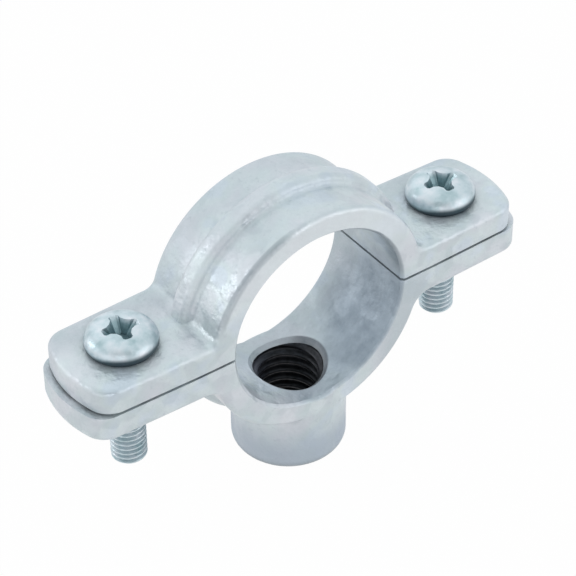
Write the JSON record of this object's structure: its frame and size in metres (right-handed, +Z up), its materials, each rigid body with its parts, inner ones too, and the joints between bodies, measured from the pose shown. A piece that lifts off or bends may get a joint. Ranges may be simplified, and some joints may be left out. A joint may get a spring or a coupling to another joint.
{
  "type": "split ring hanger",
  "caption": "Cast split ring hanger for a small steel pipe: a ribbed ring in halves, bolted at its ears, with a tapped boss underneath for a hanging rod.",
  "frame": {"origin": "centre of the pipe bore, on the plane that parts the two halves", "axes": "+X from ear to ear, +Y along the pipe, +Z up, away from the boss"},
  "size_m": [0.0726, 0.0164, 0.0449],
  "materials": {
    "galvanised_iron": "hot-dip galvanised cast skin, pale silver grey, slightly rough",
    "plated_steel": "bright zinc plate"
  },
  "bodies": {
    "lower_half": {"lower_half": "galvanised_iron"},
    "upper_half": {"upper_half": "galvanised_iron"},
    "left_screw": {"left_screw": "plated_steel"},
    "right_screw": {"right_screw": "plated_steel"}
  },
  "joints": [
    {"name": "upper_half_lift", "type": "slide", "parent": "lower_half", "child": "upper_half", "axis": [0, 0, 1], "range_m": [0, 0.0112]},
    {"name": "left_screw_turn", "type": "hinge", "parent": "upper_half", "child": "left_screw", "pos_m": [-0.0265, 0, 0.0038], "axis": [0, 0, 1], "range_deg": [0, 5040]},
    {"name": "right_screw_turn", "type": "hinge", "parent": "upper_half", "child": "right_screw", "pos_m": [0.0265, 0, 0.0038], "axis": [0, 0, 1], "range_deg": [0, 5040]}
  ],
  "couplings": [
    {"joint": "left_screw_turn", "follows": "upper_half_lift", "rad_per_m": 7854},
    {"joint": "right_screw_turn", "follows": "upper_half_lift", "rad_per_m": 7854}
  ]
}
